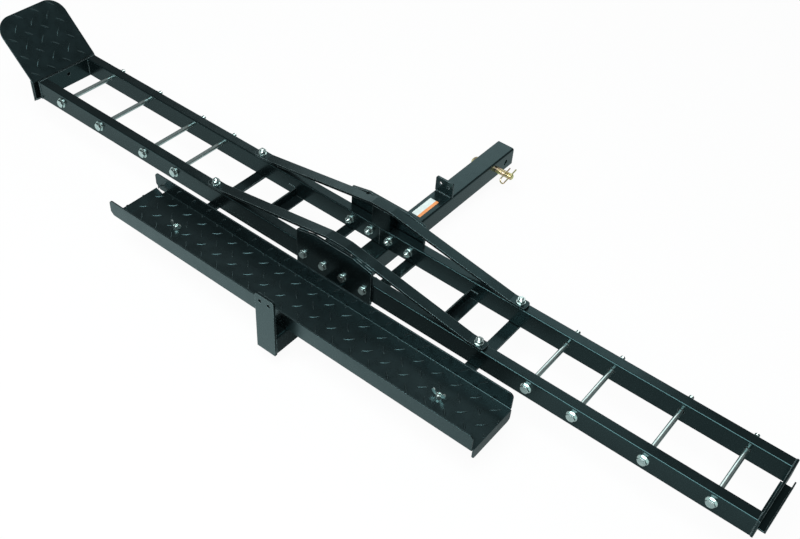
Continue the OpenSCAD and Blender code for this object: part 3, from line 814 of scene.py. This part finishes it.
@dataclass
class Welds:
    """Weld beads along the joints of plates and tubes: rows of overlapping ripples.

    A ripple's half length is a share of the spacing. Its radius swells and shrinks by a share of
    itself along a sine, whose phase grows with each ripple and with the bead's place in metres.
    """

    spacing: float = 2.0 * MM
    half_length: float = 0.75
    swell: float = 0.1
    phase_per_ripple: float = 2.3
    phase_per_metre: float = 40.0
    faces_around: int = 8
    faces_along: int = 5
    deck_z: float = BEAM_TOP
    bracket_radius: float = 2.4 * MM
    rear_inset: float = 5 * MM
    rear_gap: float = 0.4 * MM
    front_inset: float = 6 * MM
    front_gap: float = 0.3 * MM
    angle_radius: float = 2.0 * MM
    angle_leg: float = 21 * MM
    angle_inset: float = 4 * MM
    near_radius: float = 1.7 * MM
    near_y: float = -594.3 * MM
    near_stitches: tuple[Span, ...] = ((-101 * MM, -77 * MM), (62 * MM, 74 * MM), (84 * MM, 101 * MM))
    crown_z: float = 127 * MM
    crown_half: float = 55 * MM
    brace_slope: float = 0.23
    far_radius: float = 2.0 * MM
    far_x: Span = (-62 * MM, -46 * MM)
    far_y: float = -416.4 * MM
    far_z: float = 134.2 * MM
    far_length: float = 4 * MM
    end_gap: float = 0.4 * MM
    top_radius: float = 1.6 * MM
    top_inset: float = 4 * MM
    side_radius: float = 1.8 * MM
    side_inset: float = 5 * MM

    def bead(self, mesh: Mesh, start: Vector, end: Vector, radius: float) -> None:
        """Lays one bead.

        Args:
            mesh: where the bead goes.
            start: the middle of its first ripple.
            end: the middle of its last ripple.
            radius: the ripples' radius.
        """
        run = end - start
        count = max(1, round(run.length / self.spacing))
        turn = run.to_track_quat("Z", "Y").to_matrix().to_4x4()
        for index in range(count + 1):
            phase = self.phase_per_ripple * index + self.phase_per_metre * start.x
            swollen = radius * (1.0 + self.swell * math.sin(phase))
            size = Matrix.Diagonal((swollen, swollen, self.half_length * self.spacing, 1.0))
            bmesh.ops.create_uvsphere(
                mesh,
                u_segments=self.faces_around,
                v_segments=self.faces_along,
                radius=1.0,
                matrix=Matrix.Translation(start + run * index / count) @ turn @ size,
            )

    def build(self, shop: Shop, material: Material) -> None:
        """Makes all beads as one piece on the carrier."""
        mesh = bmesh.new()
        self.bracket_beads(mesh)
        self.angle_beads(mesh)
        self.splice_beads(mesh)
        self.end_beads(mesh)
        shop.piece("weld_beads", mesh, Body.CARRIER, Slot.POWDER, material)

    def bracket_beads(self, mesh: Mesh) -> None:
        """Beads at the feet of the two upright plates on the beam."""
        low, high = (Vector(corner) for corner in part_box("rear_bracket"))
        for y in (low.y - self.rear_gap, high.y + self.rear_gap):
            self.deck_bead(mesh, y, low.x + self.rear_inset, high.x - self.rear_inset)
        low, high = (Vector(corner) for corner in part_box("front_bracket"))
        self.deck_bead(mesh, high.y + self.front_gap, low.x + self.front_inset, high.x - self.front_inset)

    def deck_bead(self, mesh: Mesh, y: float, left: float, right: float) -> None:
        """Lays a bead across the top of the beam."""
        self.bead(mesh, Vector((left, y, self.deck_z)), Vector((right, y, self.deck_z)), self.bracket_radius)

    def angle_beads(self, mesh: Mesh) -> None:
        """Beads where the cross angles meet the rails."""
        low, high = (Vector(corner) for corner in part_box("cross_angles"))
        for side in SIDES:
            inner, outer = side * (high.x - self.angle_leg), side * (high.x - self.angle_inset)
            for y in (low.y, high.y):
                self.bead(mesh, Vector((inner, y, high.z)), Vector((outer, y, high.z)), self.angle_radius)

    def splice_beads(self, mesh: Mesh) -> None:
        """Short stitches between the braces and the tops of the splice plates."""
        for left, right in self.near_stitches:
            self.bead(mesh, self.crown_spot(left), self.crown_spot(right), self.near_radius)
        for x in self.far_x:
            spot = Vector((x, self.far_y, self.far_z))
            self.bead(mesh, spot, spot + Vector((self.far_length, 0, 0)), self.far_radius)

    def crown_spot(self, x: float) -> Vector:
        """A spot on the near brace's crown, which is level in the middle and falls to both sides."""
        fall = self.brace_slope * max(0.0, abs(x) - self.crown_half)
        return Vector((x, self.near_y, self.crown_z - fall))

    def end_beads(self, mesh: Mesh) -> None:
        """Beads across the rails' tops and sides at the end plates."""
        near_low, near_high = (Vector(corner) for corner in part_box("rail_near_right"))
        far_low, far_high = (Vector(corner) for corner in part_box("rail_far_right"))
        bottom, top = near_low.z + self.side_inset, near_high.z - self.side_inset
        for side in SIDES:
            x = side * (near_high.x - self.end_gap)
            for low, high in ((near_low, near_high), (far_low, far_high)):
                front, back = low.y + self.top_inset, high.y - self.top_inset
                self.bead(mesh, Vector((x, front, high.z)), Vector((x, back, high.z)), self.top_radius)
            for y in (near_low.y, near_high.y, far_low.y, far_high.y):
                self.bead(mesh, Vector((x, y, bottom)), Vector((x, y, top)), self.side_radius)


@dataclass
class Label:
    """Blank label on top of the hitch beam."""

    low: Span = (-13.7 * MM, -303.1 * MM)
    high: Span = (11.3 * MM, -229.4 * MM)
    top_z: float = BEAM_TOP
    thickness: float = 0.16 * MM
    corner_radius: float = 1.5 * MM
    corner_steps: int = 4
    band_x: float = 3.0 * MM

    def build(self, shop: Shop) -> None:
        """Makes the label as one piece on the beam."""
        mesh = bmesh.new()
        middle = Vector(((self.low[0] + self.high[0]) / 2, (self.low[1] + self.high[1]) / 2, self.top_z))
        size = Vector((self.high[0] - self.low[0], self.high[1] - self.low[1], self.thickness))
        place = Matrix.Translation(middle + Vector((0, 0, self.thickness / 2)))
        bmesh.ops.create_cube(mesh, size=1.0, matrix=place @ Matrix.Diagonal((*size, 1.0)))
        upright = [e for e in mesh.edges if abs(e.verts[0].co.z - e.verts[1].co.z) > size.z / 2]
        bmesh.ops.bevel(
            mesh,
            geom=upright,
            offset=self.corner_radius,
            segments=self.corner_steps,
            affect="EDGES",
            profile=0.5,
            material=-1,
        )
        film = LabelStock("label_film", self.band_x).material()
        shop.piece("beam_label", mesh, Body.CARRIER, None, film)


@dataclass(frozen=True)
class Lamp:
    """One soft rectangular lamp: where it hangs, its width and height, the point it faces, its power."""

    name: str
    place: Triple
    size: Span
    aim: Triple
    watts: float
    color: RGB = (0.94, 1.0, 1.0)

    def hang(self) -> None:
        """Adds the lamp to the scene."""
        data = bpy.data.lights.new(self.name, "AREA")
        data.shape = "RECTANGLE"
        data.size, data.size_y = self.size
        data.energy = self.watts
        data.color = self.color
        made = bpy.data.objects.new(self.name, data)
        bpy.context.scene.collection.objects.link(made)
        turn = (Vector(self.aim) - Vector(self.place)).to_track_quat("-Z", "Y")
        made.matrix_world = Matrix.Translation(self.place) @ turn.to_matrix().to_4x4()


@dataclass
class Studio:
    """Pale floor, soft lamps, plain world and the camera, which stands where the photograph's did."""

    eye: Triple = (1.057899, -1.833338, 1.620933)
    right: Triple = (0.78841498, 0.61110165, 0.07040299)
    down: Triple = (0.46861524, -0.52252416, -0.71229787)
    ahead: Triple = (-0.39849914, 0.59457823, -0.69833743)
    focal_pixels: float = 1037.9355
    middle_pixel: Span = (420.96, 282.69)
    frame_pixels: tuple[int, int] = (800, 539)
    sensor_mm: float = 36.0
    nearest: float = 0.05
    floor_z: float = -60.6 * MM
    floor_half: float = 15.0
    air_color: RGB = (0.93, 0.98, 1.0)
    air_strength: float = 0.12
    lamps: tuple[Lamp, ...] = (
        Lamp("front_softbox", (0.35, -1.75, 3.15), (2.5, 2.4), (0.0, -0.5, 0.0), 128.0),
        Lamp("low_softbox", (-1.05, -2.9, 2.0), (0.9, 0.55), (0.0, -0.5, 0.0), 17.0),
        Lamp("back_softbox", (-2.1, 2.8, 2.15), (4.6, 2.0), (-2.8, -0.5, 0.03), 31.0),
    )

    def build(self) -> None:
        """Places the camera, floor, lamps and world."""
        self.camera()
        self.floor()
        for lamp in self.lamps:
            lamp.hang()
        self.air()
        bpy.context.scene.view_settings.view_transform = "Standard"

    def air(self) -> None:
        """Makes the world: white to the camera, and a faint even light on the object."""
        world = bpy.data.worlds.new("studio_air")
        bpy.context.scene.world = world
        w = Wiring(world)
        path = w.add("LightPath").outputs
        seen = w.math("MAXIMUM", path["Is Camera Ray"], path["Is Transmission Ray"])
        light = w.add("Background", Color=(*self.air_color, 1.0), Strength=self.air_strength).outputs[0]
        white = w.add("Background", Color=(1.0, 1.0, 1.0, 1.0), Strength=1.0).outputs[0]
        w.finish(w.add("MixShader", i0=seen, i1=light, i2=white), "OutputWorld")

    def camera(self) -> None:
        """Sets the camera where the photograph's lens stood."""
        data = bpy.data.cameras.new("photo_camera")
        made = bpy.data.objects.new("photo_camera", data)
        bpy.context.scene.collection.objects.link(made)
        wide, high = self.frame_pixels
        data.sensor_width = self.sensor_mm
        data.lens = self.focal_pixels * self.sensor_mm / wide
        data.shift_x = (wide / 2 - self.middle_pixel[0]) / wide
        data.shift_y = (self.middle_pixel[1] - high / 2) / wide
        data.clip_start = self.nearest
        turn = Matrix((self.right, -Vector(self.down), -Vector(self.ahead))).transposed()
        made.matrix_world = Matrix.Translation(self.eye) @ turn.to_4x4()
        bpy.context.scene.camera = made

    def floor(self) -> None:
        """Lays the floor."""
        mesh = bmesh.new()
        bmesh.ops.create_grid(mesh, x_segments=1, y_segments=1, size=self.floor_half)
        bmesh.ops.translate(mesh, verts=mesh.verts, vec=(0, 0, self.floor_z))
        data = bpy.data.meshes.new("floor")
        mesh.to_mesh(data)
        mesh.free()
        made = bpy.data.objects.new("floor", data)
        bpy.context.scene.collection.objects.link(made)
        data.materials.append(FloorPaper().material())


@dataclass
class Carrier:
    """The whole carrier: the finishes of its solids, and the pieces added to them."""

    shop: Shop = field(default_factory=Shop)
    coat: PowderCoat = PowderCoat("powder_coat")
    tread: PowderCoat = PowderCoat(
        "tread_powder_coat",
        # Paler edges on bars and flange tops: partly wear, partly a painted highlight.
        edge=(0.09, 0.12, 0.125),
        edge_radius=1.1 * MM,
        sheen=(0.52, 0.94, 1.0),
        gloss=(0.24, 0.35),
        peel=0.03 * MM,
    )
    zinc: PlatedMetal = PlatedMetal(
        "zinc_plate",
        tones=((0.82, 0.95, 0.92), (0.68, 0.84, 0.82), (0.90, 0.98, 0.94)),
        gloss=(0.10, 0.22),
        metallic=0.95,
    )
    yellow: PlatedMetal = PlatedMetal(
        "yellow_zinc",
        tones=((0.88, 0.84, 0.30), (0.88, 0.62, 0.46), (0.66, 0.84, 0.30)),
        clouds=Patches(60.0, 3.0, (0.38, 0.62)),
        spots=Patches(162.0, 2.0, (0.52, 0.72)),
    )

    def dress(self) -> dict[Slot, Material]:
        """Gives every solid the finish of its slot.

        Returns:
            The materials by slot.
        """
        finishes = {
            Slot.POWDER: self.coat.material(),
            Slot.TREAD: self.tread.material(),
            Slot.ZINC: self.zinc.material(),
            Slot.YELLOW: self.yellow.material(),
        }
        slots = {part["node"]: Slot(part["material_slot"]) for part in frame["record"]["subparts"]}
        for name, solid in frame["nodes"].items():
            solid.data.materials.clear()
            solid.data.materials.append(finishes[slots[name]])
        return finishes

    def build(self) -> None:
        """Dresses the solids and adds the pieces."""
        finishes = self.dress()
        Bolts().build(self.shop, finishes[Slot.ZINC])
        Welds().build(self.shop, finishes[Slot.POWDER])
        RampTread().build(self.shop, finishes[Slot.TREAD])
        StopTread().build(self.shop, finishes[Slot.TREAD])
        Label().build(self.shop)


def main() -> None:
    """Builds the carrier and its studio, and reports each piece."""
    logging.basicConfig(level=logging.INFO, format="%(name)s: %(message)s")
    carrier = Carrier()
    carrier.build()
    Studio().build()
    for name, faces in carrier.shop.faces.items():
        log.info("%s: %d faces", name, faces)


if __name__ == "__main__":
    main()
